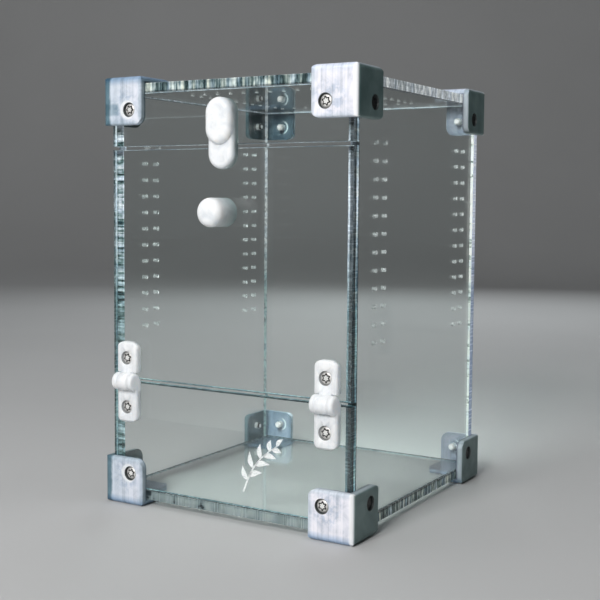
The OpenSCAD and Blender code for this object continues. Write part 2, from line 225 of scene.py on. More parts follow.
def cut_edge(axis, look):
    """Laser-cut edge of a sheet that is thin along axis: bars run across the thickness, with
    melted beads between them, painted highlights on the arrises, painted shade in the core and a painted glow."""
    t = Tree("laser_cut_edge_%s_%s" % ("xyz"[axis], look))
    weights, stops, profile, hues, glow, gleam = EDGE_LOOKS[look]
    p = t.bsdf(**{"Base Color": (0.80, 0.93, 0.92, 1), "Transmission Weight": 0.22, "IOR": 1.49,
                  "Roughness": 0.2, "Specular IOR Level": 0.6})
    v = t.coords()
    sep = t.new("ShaderNodeSeparateXYZ")
    t.link(v, sep.inputs[0])
    c0, mid = MIDDLE[axis]
    d = t.math("ABSOLUTE", t.math("SUBTRACT", sep.outputs[axis], c0 * MM))
    inward = t.math("DIVIDE", t.math("SUBTRACT", mid * MM, d), 0.002)
    flat = tuple(0.0 if i == axis else 1.0 for i in range(3))
    half = tuple(0.45 if i == axis else 1.0 for i in range(3))
    # the direction a line runs along on a standing or lying edge
    thin = tuple(1.0 if i == axis else 0.03 for i in range(3))
    bars = t.noise(t.coords(flat), {"soft": 150, "ticked": 620, "glint": 520}.get(look, 300), 2, 0.5, 0.2)
    ribs = t.noise(t.coords(flat, (0.3, 0.1, 0.7)), 1000, 2, 0.6)
    beads = t.noise(t.coords(half, (0.7, 0.4, 0.2)), 520 if look != "soft" else 210, 2, 0.5, 0.5)
    tint = t.noise(t.coords(flat, (0.9, 0.6, 0.1)), 260, 2, 0.5)
    lines = t.noise(t.coords(thin, (0.2, 0.5, 0.3)), 1100, 2, 0.5)
    total = sum(weights)
    k = t.math("MULTIPLY", bars, weights[0] / total)
    if look == "pale":
        # whiter towards the back
        k = t.math("ADD", k, t.range(sep.outputs[1], 0.0, 0.06, 0.0, 0.07))
    if look == "soft":
        # the edge turns darker towards its left end
        k = t.math("ADD", k, t.range(sep.outputs[0], -0.028, -0.024, -0.060, 0.045))
    for src, w in ((ribs, weights[1]), (beads, weights[2]), (lines, weights[3])):
        if w:
            k = t.math("ADD", k, t.math("MULTIPLY", src, w / total))
    col = t.ramp(k, stops)
    hue = t.ramp(tint, [(0.38, (0.80, 0.89, 1.0)), (0.48, (0.96, 1.0, 1.0)), (0.60, (1.0, 0.98, 0.88))])
    mul = t.new("ShaderNodeMix", data_type="RGBA", blend_type="MULTIPLY")
    mul.inputs["Factor"].default_value = hues
    t.link(col, mul.inputs["A"])
    t.link(hue, mul.inputs["B"])
    # painted highlight and shade across the thickness, from the outer arris to the inner one
    level = t.ramp(t.range(inward, -1.0, 1.0, 0.0, 1.0),
                   [((u + 1) / 2, (b, b * (1.0 if b > 0.7 else 1.05), b * (1.0 if b > 0.7 else 1.08)))
                    for u, b in profile])
    shade = t.new("ShaderNodeMix", data_type="RGBA", blend_type="MULTIPLY")
    shade.inputs["Factor"].default_value = 1.0
    t.link(mul.outputs["Result"], shade.inputs["A"])
    t.link(level, shade.inputs["B"])
    out = shade.outputs["Result"]
    if axis != 2:
        # standing edges fade to a dimmer teal lower down
        low = t.new("ShaderNodeMix", data_type="RGBA", blend_type="MULTIPLY")
        wander = t.math("ADD", sep.outputs[2], t.math("MULTIPLY", t.math("SUBTRACT", tint, 0.5), 0.05))
        t.link(t.range(wander, 0.090, 0.118, 1.0, 0.0), low.inputs["Factor"])
        t.link(out, low.inputs["A"])
        low.inputs["B"].default_value = {"bright": (0.42, 0.48, 0.56, 1), "glint": (0.60, 0.66, 0.66, 1),
                                         "ticked": (0.55, 0.68, 0.66, 1)}.get(look, (0.34, 0.48, 0.48, 1))
        out = low.outputs["Result"]
    t.link(out, p.inputs["Base Color"])
    # painted glow: emission stands in for light piped along the sheet that leaves at its edge
    t.link(out, p.inputs["Emission Color"])
    lit = 0.08 if look == "lines" else 0.30
    t.link(t.range(inward, lit, lit + 0.12, glow, gleam), p.inputs["Emission Strength"])
    t.link(t.range(ribs, 0.3, 0.7, 0.14, 0.34), p.inputs["Roughness"])
    h = t.math("ADD", t.math("MULTIPLY", ribs, 0.5), bars)
    t.link(t.bump(h, {"bars": 0.45, "soft": 0.03, "pale": 0.08}.get(look, 0.2), 0.00015), p.inputs["Normal"])
    t.link(p.outputs["BSDF"], t.out.inputs["Surface"])
    return t.mat


def hole_wall():
    """Wall of a laser-cut hole: lightly frosted."""
    t = Tree("hole_wall")
    p = t.bsdf(**{"Base Color": (0.85, 0.92, 0.92, 1), "Transmission Weight": 0.25, "IOR": 1.49,
                  "Roughness": 0.3})
    n = t.noise(t.coords(), 1500, 3, 0.6)
    t.link(t.ramp(n, [(0.3, (0.52, 0.57, 0.57)), (0.6, (0.92, 0.95, 0.95))]), p.inputs["Base Color"])
    t.link(t.range(n, 0.3, 0.7, 0.12, 0.35), p.inputs["Roughness"])
    t.link(t.bump(n, 0.4, 0.0001), p.inputs["Normal"])
    # painted glow: emission stands in for light piped along the sheet that leaves at the small holes too
    p.inputs["Emission Color"].default_value = (0.88, 0.95, 0.95, 1)
    p.inputs["Emission Strength"].default_value = 0.07
    t.link(p.outputs["BSDF"], t.out.inputs["Surface"])
    return t.mat


def printed(name, axis=(1, 0, 0), pitch=0.0004, corner=False, fade=False, hinge=False):
    """Translucent white printed plastic: extrusion lines whose stack runs along axis. The thin
    free ends of a corner bracket let light through and look greyer. The corner brackets also carry
    painted shade and painted highlights, the hinge leaves a painted glow, and the knob and latch
    painted shade towards the back."""
    t = Tree(name)
    p = t.bsdf(**{"Base Color": (0.86, 0.88, 0.90, 1), "Roughness": 0.42, "IOR": 1.46,
                  "Subsurface Weight": 0.3 if corner else 0.75,
                  "Subsurface Scale": 0.0018 if corner else 0.0032,
                  "Subsurface Radius": (1.0, 0.95, 0.9), "Specular IOR Level": 0.5})
    v = t.coords()
    # position along the stack, with the small wander of a real print path
    dot = t.new("ShaderNodeVectorMath", operation="DOT_PRODUCT")
    t.link(v, dot.inputs[0])
    dot.inputs[1].default_value = axis
    wander = t.noise(v, 60, 3, 0.5)
    s = t.math("ADD", dot.outputs["Value"], t.math("MULTIPLY", wander, pitch * 0.35))
    line = t.math("SINE", t.math("MULTIPLY", s, 2 * math.pi / pitch))
    # streaks: the same position through a one-dimensional noise
    comb = t.new("ShaderNodeCombineXYZ")
    t.link(s, comb.inputs[0])
    streak = t.noise(comb.outputs[0], 1300, 2, 0.6)
    wide = t.noise(comb.outputs[0], 300, 2, 0.6)
    cloud = t.noise(v, 170, 5, 0.62, 0.6)
    speck = t.noise(v, 1100, 3, 0.6)
    w = (0.22, 0.36, 0.44) if corner else (0.18, 0.52, 0.16)
    mixv = t.math("ADD", t.math("MULTIPLY", streak, w[0]), t.math("MULTIPLY", cloud, w[1]))
    mixv = t.math("ADD", mixv, t.math("MULTIPLY", wide, w[2]))
    if corner:
        col = t.ramp(mixv, [(0.40, (0.54, 0.57, 0.64)), (0.48, (0.76, 0.77, 0.84)), (0.56, (0.92, 0.91, 0.98))])
        sep = t.new("ShaderNodeSeparateXYZ")
        t.link(v, sep.inputs[0])

        def blend(col, fac, tint, how="MULTIPLY"):
            mix = t.new("ShaderNodeMix", data_type="RGBA", blend_type=how)
            t.link(fac, mix.inputs["Factor"])
            t.link(col, mix.inputs["A"])
            mix.inputs["B"].default_value = (*tint, 1)
            return mix.outputs["Result"]

        away = [t.math("ABSOLUTE", t.math("SUBTRACT", sep.outputs[i], c0 * MM))
                for i, c0 in enumerate((0.0, 5.25, 94.0))]
        puff = t.math("MULTIPLY", t.math("SUBTRACT", cloud, 0.5), 0.004)
        # thin free ends let light through and look greyer
        ends = [t.math("SUBTRACT", away[i], free * MM) for i, free in enumerate((41.9, 43.9, 73.1))]
        near = t.math("MINIMUM", t.math("MINIMUM", ends[0], ends[1]), ends[2])
        near = t.math("ADD", near, puff)
        col = blend(col, t.range(near, 0.0010, 0.0030, 0.9, 0.0), (0.72, 0.79, 0.82))
        # solid rims outside the sheets: painted shade, darkest at the left, bluish on the level rims
        rim = t.math("ADD", away[2], t.math("MULTIPLY", puff, 0.5))
        level = t.range(rim, 0.0900, 0.0928, 0.0, 1.0)
        west = t.range(sep.outputs[0], -0.03, 0.03, 1.0, 0.0)
        low = t.range(sep.outputs[2], 0.08, 0.10, 1.0, 0.0)
        col = blend(col, level, (0.84, 0.90, 0.97))
        col = blend(col, t.math("MULTIPLY", level, t.math("MAXIMUM", west, low)), (0.50, 0.61, 0.70))
        # painted shade: the outermost strip at the far left turns dark teal
        left = t.math("ADD", sep.outputs[0], t.math("MULTIPLY", puff, 0.5))
        col = blend(col, t.range(left, -0.0597, -0.0585, 1.0, 0.0), (0.22, 0.34, 0.37))
        # painted shade: a darker patch at the upper left, where the side screw shows through
        patch = t.math("MULTIPLY", t.range(t.math("ABSOLUTE", t.math("SUBTRACT", sep.outputs[2], 0.1738)),
                                           0.0020, 0.0030, 0.7, 0.0),
                       t.range(left, -0.0548, -0.0538, 1.0, 0.0))
        col = blend(col, patch, (0.40, 0.52, 0.56))
        # the right-hand upright rim catches the light
        east = t.math("MULTIPLY", t.range(sep.outputs[0], 0.0606, 0.0614, 0.0, 0.8),
                      t.range(away[1], 0.0638, 0.0646, 0.0, 1.0))
        col = blend(col, east, (0.97, 0.98, 1.0), "MIX")
        # mottling round the screws, and light falling off to the left
        cx, cz = [t.math("SUBTRACT", away[i], at * MM) for i, at in ((0, 51.0), (2, 81.0))]
        r3 = t.math("SQRT", t.math("ADD", t.math("MULTIPLY", cx, cx), t.math("MULTIPLY", cz, cz)))
        spots = t.range(t.noise(v, 520, 3, 0.6, 0.4), 0.44, 0.60, 0.0, 1.0)
        col = blend(col, t.math("MULTIPLY", t.range(r3, 0.0045, 0.0085, 0.9, 0.0), spots), (0.70, 0.77, 0.84))
        col = blend(col, t.range(sep.outputs[0], -0.06, -0.03, 1.0, 0.0), (0.68, 0.76, 0.79))
        # faces turned along x lay flat while printing and are smooth and clear; they and the side plates
        # are painted a darker teal, as painted shade
        nrm = t.new("ShaderNodeSeparateXYZ")
        tc = t.new("ShaderNodeTexCoord")
        t.link(tc.outputs["Normal"], nrm.inputs[0])
        flatx = t.math("ABSOLUTE", nrm.outputs[0])
        bed_and_shade = t.math("MULTIPLY", t.range(flatx, 0.70, 0.93, 0.0, 1.0), t.range(away[0], 0.050, 0.055, 0.35, 1.0))
        plate = t.math("MULTIPLY", t.range(away[0], 0.0600, 0.0608, 0.0, 1.0),
                       t.range(away[1], 0.0638, 0.0646, 1.0, 0.0))
        # painted light: ends that face the front or the top are kept paler
        turned = t.math("MAXIMUM", t.range(nrm.outputs[1], -0.75, -0.40, 0.55, 0.0),
                        t.range(nrm.outputs[2], 0.50, 0.85, 0.0, 0.45))
        plate = t.math("MULTIPLY", plate, t.math("SUBTRACT", 1.0, turned))
        bed_and_shade = t.math("MAXIMUM", bed_and_shade, plate)
        soft = t.noise(v, 75, 3, 0.5, 0.4)
        smooth = t.ramp(soft, [(0.35, (0.085, 0.145, 0.145)), (0.65, (0.175, 0.255, 0.250))])
        mix = t.new("ShaderNodeMix", data_type="RGBA")
        t.link(bed_and_shade, mix.inputs["Factor"])
        t.link(col, mix.inputs["A"])
        t.link(smooth, mix.inputs["B"])
        col = mix.outputs["Result"]
        # painted shade: inner faces, against the sheets, are painted dim, most of all at the upper left
        depth = [t.math("SUBTRACT", away[i], at * MM) for i, at in enumerate((60.05, 63.05, 91.05))]
        deep = t.math("MAXIMUM", t.math("MAXIMUM", depth[0], depth[1]), depth[2])
        inner = t.range(deep, 0.0002, 0.0009, 1.0, 0.0)
        col = blend(col, inner, (0.26, 0.27, 0.31))
        col = blend(col, t.math("MULTIPLY", inner, west), (1.15, 1.30, 1.30))
        col = blend(col, t.math("MULTIPLY", t.math("MULTIPLY", inner, west), t.math("SUBTRACT", 1.0, low)),
                    (0.26, 0.34, 0.35))
        # the counterbores: a painted highlight on the floor seen from the left, painted shade on the wall
        off = []
        for i, at in enumerate((48.6, 51.6, 79.6)):
            d = t.math("SUBTRACT", away[i], at * MM)
            off.append(t.math("MULTIPLY", d, d))
        outer = t.range(deep, 0.0010, 0.0014, 0.0, 1.0)
        lx = t.math("ADD", t.math("SUBTRACT", sep.outputs[0], -48.6 * MM), 0.0009)
        hal = t.math("SQRT", t.math("ADD", t.math("MULTIPLY", lx, lx), off[2]))
        col = blend(col, t.math("MULTIPLY", outer, t.range(hal, 0.0036, 0.0044, 0.75, 0.0)),
                    (0.90, 0.92, 0.93), "MIX")
        r2 = t.math("SQRT", t.math("MINIMUM", t.math("ADD", off[0], off[2]), t.math("ADD", off[1], off[2])))
        col = blend(col, t.math("MULTIPLY", outer, t.range(r2, 0.00310, 0.00322, 1.0, 0.0)),
                    (0.06, 0.07, 0.07), "MIX")
        # painted highlight: seen from inside, a pale crescent beside each screw of the rear plates
        rx = t.math("SUBTRACT", t.math("ABSOLUTE", sep.outputs[0]), 48.6 * MM)
        rx = t.math("MULTIPLY", rx, t.range(sep.outputs[0], -0.001, 0.001, -1.0, 1.0))
        arc_ = t.math("MULTIPLY", t.range(r2, 0.0027, 0.0030, 0.0, 1.0), t.range(r2, 0.0034, 0.0037, 1.0, 0.0))
        arc_ = t.math("MULTIPLY", arc_, t.range(rx, 0.0002, 0.0022, 0.0, 0.9))
        arc_ = t.math("MULTIPLY", t.math("MULTIPLY", arc_, inner), t.range(sep.outputs[1], 0.03, 0.04, 0.0, 1.0))
        col = blend(col, arc_, (0.62, 0.68, 0.70), "MIX")
    else:
        col = t.ramp(mixv, [(0.34, (0.74, 0.77, 0.80)), (0.44, (0.88, 0.90, 0.92)), (0.54, (0.95, 0.96, 0.97))])
    if fade:
        # less light scatters back towards the door
        sy = t.new("ShaderNodeSeparateXYZ")
        t.link(v, sy.inputs[0])
        mix = t.new("ShaderNodeMix", data_type="RGBA", blend_type="MULTIPLY")
        t.link(t.range(sy.outputs[1], fade[0], fade[1], 0.0, 1.0), mix.inputs["Factor"])
        t.link(col, mix.inputs["A"])
        mix.inputs["B"].default_value = (0.36, 0.47, 0.47, 1)
        col = mix.outputs["Result"]
    if hinge:
        # painted shade on the counterbore walls round the hinge screws
        sh = t.new("ShaderNodeSeparateXYZ")
        t.link(v, sh.inputs[0])
        dx = t.math("SUBTRACT", t.math("ABSOLUTE", sh.outputs[0]), 0.050)
        rings = []
        for z in (0.0657, 0.0440):
            dz = t.math("SUBTRACT", sh.outputs[2], z)
            rings.append(t.math("ADD", t.math("MULTIPLY", dx, dx), t.math("MULTIPLY", dz, dz)))
        r2 = t.math("SQRT", t.math("MINIMUM", rings[0], rings[1]))
        wall = t.new("ShaderNodeMix", data_type="RGBA")
        t.link(t.range(r2, 0.00286, 0.00296, 0.9, 0.0), wall.inputs["Factor"])
        t.link(col, wall.inputs["A"])
        wall.inputs["B"].default_value = (0.16, 0.17, 0.17, 1)
        col = wall.outputs["Result"]
        # painted glow on the sides of the thin leaves, standing in for light from the front coming out of them
        side = t.new("ShaderNodeSeparateXYZ")
        tc = t.new("ShaderNodeTexCoord")
        t.link(tc.outputs["Normal"], side.inputs[0])
        t.link(t.range(t.math("ABSOLUTE", side.outputs[0]), 0.45, 0.95, 0.0, 0.16), p.inputs["Emission Strength"])
        p.inputs["Emission Color"].default_value = (0.86, 0.90, 0.96, 1)
    t.link(col, p.inputs["Base Color"])
    t.link(t.range(cloud, 0.3, 0.7, 0.32, 0.50), p.inputs["Roughness"])
    h = t.math("ADD", t.math("MULTIPLY", line, 0.5), t.math("MULTIPLY", streak, 1.1))
    h = t.math("ADD", h, t.math("MULTIPLY", speck, 0.5))
    t.link(t.bump(h, 0.4, 0.00007), p.inputs["Normal"])
    t.link(p.outputs["BSDF"], t.out.inputs["Surface"])
    return t.mat


def steel(name="steel", dark=(0.58, 0.57, 0.54), pale=(0.86, 0.85, 0.82), rough=(0.08, 0.22), rise=0.15,
          metal=1.0):
    """Bright stainless steel, between two colours and two roughnesses."""
    t = Tree(name)
    p = t.bsdf(**{"Base Color": (0.72, 0.71, 0.68, 1), "Metallic": metal, "Roughness": 0.16})
    v = t.coords()
    n = t.noise(v, 900, 4, 0.6)
    b = t.noise(v, 180, 3, 0.6)
    t.link(t.ramp(b, [(0.3, dark), (0.7, pale)]), p.inputs["Base Color"])
    t.link(t.range(n, 0.3, 0.7, *rough), p.inputs["Roughness"])
    t.link(t.bump(n, rise, 0.00003), p.inputs["Normal"])
    t.link(p.outputs["BSDF"], t.out.inputs["Surface"])
    return t.mat


def etched():
    """Laser-engraved white: frosted, stippled by the raster of the laser."""
    t = Tree("etched_white")
    p = t.bsdf(**{"Base Color": (0.93, 0.95, 0.95, 1), "Roughness": 0.7, "Specular IOR Level": 0.3})
    v = t.coords()
    dots = t.noise(v, 1900, 2, 0.6)
    lines = t.noise(t.coords((0.25, 1, 1)), 2600, 1, 0.5)
    k = t.math("ADD", t.math("MULTIPLY", dots, 0.6), t.math("MULTIPLY", lines, 0.4))
    t.link(t.ramp(k, [(0.36, (0.58, 0.62, 0.63)), (0.50, (0.90, 0.93, 0.93)), (0.7, (1, 1, 1))]),
           p.inputs["Base Color"])
    t.link(t.bump(k, 0.6, 0.0001), p.inputs["Normal"])
    t.link(p.outputs["BSDF"], t.out.inputs["Surface"])
    return t.mat


M_FACE, M_HOLE = clear_sheet(), hole_wall()
M_EDGE = {}
for axis_, look_ in ((0, "calm"), (0, "ticked"), (0, "glint"), (0, "pale"), (1, "lines"), (1, "bright"), (2, "bars"), (2, "soft"), (2, "pale")):
    M_EDGE[axis_, look_] = cut_edge(axis_, look_)
M_STEEL, M_ETCH = steel("steel", (0.70, 0.69, 0.67), (0.93, 0.92, 0.90), (0.38, 0.54), 0.15, 0.65), etched()
M_SHADE = steel("steel_in_shade", (0.03, 0.03, 0.03), (0.07, 0.07, 0.07), (0.30, 0.46))
# screw tips: pale, mostly matt steel, a painted highlight standing in for their reflections
M_TIP = steel("steel_cut_end_painted_bright", (0.75, 0.75, 0.74), (0.97, 0.97, 0.96), (0.40, 0.60), 0.4, 0.3)
# socket walls: near-black steel, painted shade; socket floor: pale steel, a painted highlight
M_SOCKET = steel("steel_socket_wall", (0.02, 0.02, 0.02), (0.06, 0.06, 0.06), (0.35, 0.55), 0.2)
M_FLOOR = steel("steel_socket_floor", (0.80, 0.80, 0.78), (0.98, 0.98, 0.96), (0.30, 0.50), 0.3, 0.4)
M_CORNER = printed("printed_white_corner", (1, 0, 0), 0.00045, True)
M_HINGE = printed("printed_white_hinge", (1, 0, 0), 0.00045, hinge=True)
M_KNOB = printed("printed_white_knob", (0, 1, 0), 0.00025, fade=(-0.0680, -0.0580))
M_LATCH = printed("printed_white_latch", (0, 1, 0), 0.00025, fade=(-0.0622, -0.0578))


def link(obj):
    scene.collection.objects.link(obj)
    return obj


# ---------------------------------------------------------------- clear sheets
def ridged_loop(w, h, rng):
    """Outline of a w by h sheet from its low corner, with the small beads a laser leaves.
    The beads only go inwards, so the sheet keeps its size."""
    pts = []
    sides = [((0, 0), (w, 0), (0, 1)), ((w, 0), (w, h), (-1, 0)),
             ((w, h), (0, h), (0, -1)), ((0, h), (0, 0), (1, 0))]
    for (a, b, n) in sides:
        length = math.hypot(b[0] - a[0], b[1] - a[1])
        steps = max(8, int(length / 0.34))
        ph = [rng.uniform(0, 6.283) for _ in range(4)]
        per = [0.95, 1.55, 2.9, 6.1]
        for i in range(steps):
            s = length * i / steps
            d = 0.0
            if i:
                fade = 1.6 * min(1.0, s / 0.5, (length - s) / 0.5)
                d = (0.020 * (1 + math.sin(6.283 * s / per[0] + ph[0] + 0.8 * math.sin(s * 0.9)))
                     + 0.012 * (1 + math.sin(6.283 * s / per[1] + ph[1] + math.sin(s * 0.37)))
                     + 0.014 * (1 + math.sin(6.283 * s / per[2] + ph[2]))
                     + 0.010 * (1 + math.sin(6.283 * s / per[3] + ph[3]))) * fade
            f = i / steps
            pts.append((a[0] + (b[0] - a[0]) * f + n[0] * d, a[1] + (b[1] - a[1]) * f + n[1] * d))
    return pts


def circle_loop(cx, cy, r, n):
    return [(cx + r * math.cos(6.2831853 * i / n), cy + r * math.sin(6.2831853 * i / n)) for i in range(n)]


def sheet_piece(name, node, body, lo, hi, holes, seed, look, other=None, faces=()):
    """A clear sheet between corners lo and hi, in mm, thin along one axis. holes are
    (u, v, radius) on the sheet's own plane, measured along its other two axes. Edges take
    one look, and those that face the (axis, sign) pairs in faces take the other."""
    rng = random.Random(seed)
    size = [hi[i] - lo[i] for i in range(3)]
    thin = size.index(min(size))
    ua, va = [i for i in range(3) if i != thin]
    cu_ = bpy.data.curves.new(name, "CURVE")
    cu_.dimensions = "2D"
    cu_.fill_mode = "BOTH"
    arris = 0.16
    cu_.extrude = (size[thin] / 2 - arris) * MM
    cu_.bevel_depth = arris * MM
    cu_.bevel_resolution = 1
    cu_.offset = -arris * MM
    cu_.resolution_u = 1
    loops = [ridged_loop(size[ua], size[va], rng)]
    for (u, v, r) in holes:
        loops.append(circle_loop(u - lo[ua], v - lo[va], r, 20 if r < 1.2 else 32))
    for pts in loops:
        sp = cu_.splines.new("POLY")
        sp.points.add(len(pts) - 1)
        for p_, (x, y) in zip(sp.points, pts):
            p_.co = (x * MM, y * MM, 0, 1)
        sp.use_cyclic_u = True
    tmp = bpy.data.objects.new(name + "_curve", cu_)
    link(tmp)
    bpy.context.view_layer.update()
    me = bpy.data.meshes.new_from_object(tmp.evaluated_get(bpy.context.evaluated_depsgraph_get()))
    bpy.data.objects.remove(tmp)
    bpy.data.curves.remove(cu_)
    # from (u, v, t) to the row frame
    mat = Matrix.Identity(4)
    for row in range(3):
        for col in range(3):
            mat[row][col] = 0
    mat[ua][0] = 1
    mat[va][1] = 1
    mat[thin][2] = 1
    mat.translation = Vector([(lo[i] if i != thin else (lo[i] + hi[i]) / 2) * MM for i in range(3)])
    me.transform(mat)
    me.materials.clear()
    for mm_ in (M_FACE, M_EDGE[thin, look], M_HOLE, M_EDGE[thin, other or look]):
        me.materials.append(mm_)
    bm = bmesh.new()
    bm.from_mesh(me)
    bmesh.ops.remove_doubles(bm, verts=bm.verts, dist=1e-7)
    bmesh.ops.recalc_face_normals(bm, faces=bm.faces)
    bm.normal_update()
    for f in bm.faces:
        if abs(f.normal[thin]) > 0.985:
            f.material_index = 0
            continue
        c = f.calc_center_median() * 1000
        turn = any(f.normal[ax] * sg > 0.5 for ax, sg in faces)
        f.material_index = 3 if turn else 1
        for (u, v, r) in holes:
            if abs(math.hypot(c[ua] - u, c[va] - v) - r) < 0.3:
                f.material_index = 2
                break
        f.smooth = f.material_index == 2
    bm.to_mesh(me)
    bm.free()
    me.name = name
    o = link(bpy.data.objects.new(name, me))
    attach(o, body)
    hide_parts(node)
    return o


# Sizes repeated from the construction, in mm, in the row frame
YS = 5.25                                    # shift of the footprint's centre
W2, YF, YR = 60.0, -63.0 + YS, 63.0 + YS
T, GAP = 4.0, 0.05
Z0, Z1 = 3.0, 185.0
IN0, IN1 = Z0 + T, Z1 - T
HIN = 11.4
CX = W2 - HIN
ZS = (Z0 + HIN, Z1 - HIN)
HZ, DT, DG = 55.4, 156.6, 1.4
HX, SUP, SDN = 50.0, 10.3, 11.4
LZ, KZ = 170.7, 130.0
TAP, CLR, VR = 1.54, 1.65, 0.8

front_holes = [(s * CX, z, TAP) for s in (-1, 1) for z in ZS]
side_holes = [(s * (63.0 - HIN) + YS, z, TAP) for s in (-1, 1) for z in ZS]
side_vents = [(YF + c, 158.5 - k * 7.35, VR) for c in (20, 28, 102, 110) for k in range(12)]
ring = [(-34 + i * 6.8, s * 38 + YS, VR) for s in (-1, 1) for i in range(11)]
ring += [(s * 34, -38 + j * 76 / 11 + YS, VR) for s in (-1, 1) for j in range(1, 11)]

sheet_piece("base_sheet", "base_panel", "case", (-W2, YF, Z0), (W2, YR, IN0), [], 11,
            "bars", "soft", [(1, -1)])
sheet_piece("top_sheet", "top_panel", "case", (-W2, YF, IN1), (W2, YR, Z1), ring, 12,
            "pale", "bars", [(1, -1)])
for s, nm, sd in ((-1, "left", 13), (1, "right", 14)):
    x0, x1 = (-W2, -W2 + T) if s < 0 else (W2 - T, W2)
    sheet_piece(nm + "_sheet", nm + "_panel", "case", (x0, YF + T + GAP, IN0 + GAP),
                (x1, YR - T - GAP, IN1 - GAP), side_holes + side_vents, sd,
                "ticked" if s < 0 else "calm", "pale" if s < 0 else "glint", [(1, 1)])
sheet_piece("rear_sheet", "rear_panel", "case", (-W2, YR - T, IN0 + GAP), (W2, YR, IN1 - GAP),
            front_holes, 15, "lines", "bright", [(0, 1)])
sheet_piece("front_top_sheet", "front_top_strip", "case", (-W2, YF, DT + DG), (W2, YF + T, IN1 - GAP),
            [h for h in front_holes if h[1] > 100] + [(0, LZ, 1.56)], 16, "lines")
sheet_piece("front_bottom_sheet", "front_bottom_strip", "case", (-W2, YF, IN0 + GAP),
            (W2, YF + T, HZ - DG / 2),
            [h for h in front_holes if h[1] < 100] + [(s * HX, HZ - SDN, TAP) for s in (-1, 1)], 17,
            "lines")
sheet_piece("door_sheet", "door_panel", "door", (-W2, YF, HZ + DG / 2), (W2, YF + T, DT),
            [(s * HX, HZ + SUP, TAP) for s in (-1, 1)] + [(0, KZ, CLR)], 18, "lines")


# ---------------------------------------------------------------- fasteners
def screw_mesh(name, length, hr=2.85):
    """Button-head screw: seat at z = 0, head above, threaded shank below. In mm, made in metres."""
    bm = bmesh.new()
    n = 48
    hh, big = 1.65, 3.8
    zc = hh - big

    def ring_of(radius, z):
        return [bm.verts.new((radius(6.2831853 * i / n) * math.cos(6.2831853 * i / n) * MM,
                              radius(6.2831853 * i / n) * math.sin(6.2831853 * i / n) * MM, z * MM))
                for i in range(n)]

    def lobes(scale):
        return lambda a: (0.98 + 0.20 * math.cos(6 * a)) * scale

    rings = []
    rings.append(ring_of(lambda a: 1.5, 0.0))
    rings.append(ring_of(lambda a: hr - 0.12, 0.0))
    rings.append(ring_of(lambda a: hr, 0.10))
    z_edge = zc + math.sqrt(big ** 2 - hr ** 2)
    rings.append(ring_of(lambda a: hr, z_edge - 0.03))
    for k in range(1, 9):
        r = hr - (hr - 2.12) * k / 8
        rings.append(ring_of(lambda a, r=r: r, min(hh - 0.02, zc + math.sqrt(big ** 2 - r ** 2))))
    top = zc + math.sqrt(big ** 2 - 2.12 ** 2) + 0.05
    rings.append(ring_of(lobes(1.78), top))
    rings.append(ring_of(lobes(1.74), top - 0.01))
    rings.append(ring_of(lobes(1.06), hh - 0.46))
    rings.append(ring_of(lambda a: 0.60, hh - 0.48))
    for k, (a, b) in enumerate(zip(rings, rings[1:])):
        for i in range(n):
            j = (i + 1) % n
            f = bm.faces.new((a[i], a[j], b[j], b[i]))
            f.smooth = True
            # the socket walls take painted shade, the socket floor a painted highlight
            if k >= len(rings) - 3:
                f.material_index = 2 if k == len(rings) - 3 else 3
    c = bm.verts.new((0, 0, (hh - 0.50) * MM))
    last = rings[-1]
    for i in range(n):
        f = bm.faces.new((last[i], last[(i + 1) % n], c))
        f.smooth = True
        f.material_index = 3
    # threaded shank: a radius that follows the helix
    m_ = 28
    pitch = 0.5
    rows = int((length - 0.0) / pitch * 7)
    prev = None
    for r_ in range(rows + 1):
        z = -length * r_ / rows
        row = []
        for i in range(m_):
            a = 6.2831853 * i / m_
            ph = (z / pitch + i / m_) % 1.0
            tri = abs(ph * 2 - 1)
            tri = min(1.0, max(0.0, (tri - 0.12) / 0.72))
            rad = 1.24 + 0.25 * tri
            if z > -0.8:
                rad = 1.24 + (rad - 1.24) * max(0.0, -z - 0.3) / 0.5 if z < -0.3 else 1.30
            end = z + length
            if end < 0.45:
                rad = min(rad, 1.05 + end * 0.98)
            row.append(bm.verts.new((rad * math.cos(a) * MM, rad * math.sin(a) * MM, z * MM)))
        if prev:
            for i in range(m_):
                j = (i + 1) % m_
                f = bm.faces.new((prev[i], row[i], row[j], prev[j]))
                f.smooth = True
        prev = row
    c = bm.verts.new((0, 0, -length * MM))
    for i in range(m_):
        bm.faces.new((prev[i], c, prev[(i + 1) % m_])).material_index = 1
    # close the seat between the shank and the head's underside
    first_shank = [v for v in bm.verts if abs(v.co.z) < 1e-9 and abs(v.co.xy.length - 1.30 * MM) < 1e-7]
    inner = sorted(first_shank, key=lambda v: math.atan2(v.co.y, v.co.x) % 6.2831853)
    outer = rings[0]
    bmesh.ops.bridge_loops(bm, edges=[e for e in bm.edges
                                      if (e.verts[0] in set(inner) and e.verts[1] in set(inner))
                                      or (e.verts[0] in set(outer) and e.verts[1] in set(outer))])
    bmesh.ops.recalc_face_normals(bm, faces=bm.faces)
    me = bpy.data.meshes.new(name)
    bm.to_mesh(me)
    bm.free()
    return me


FACING = {
    "front": Matrix.Rotation(math.radians(90), 4, "X"),
    "rear": Matrix.Rotation(math.radians(-90), 4, "X"),
    "right": Matrix.Rotation(math.radians(90), 4, "Y"),
    "left": Matrix.Rotation(math.radians(-90), 4, "Y"),
}
SCREW6, SCREW8, SCREW12 = screw_mesh("screw6", 6.0), screw_mesh("screw8", 8.0), screw_mesh("screw12", 12.0)
SCREW6_SMALL = screw_mesh("screw6_small", 6.0, 2.7)


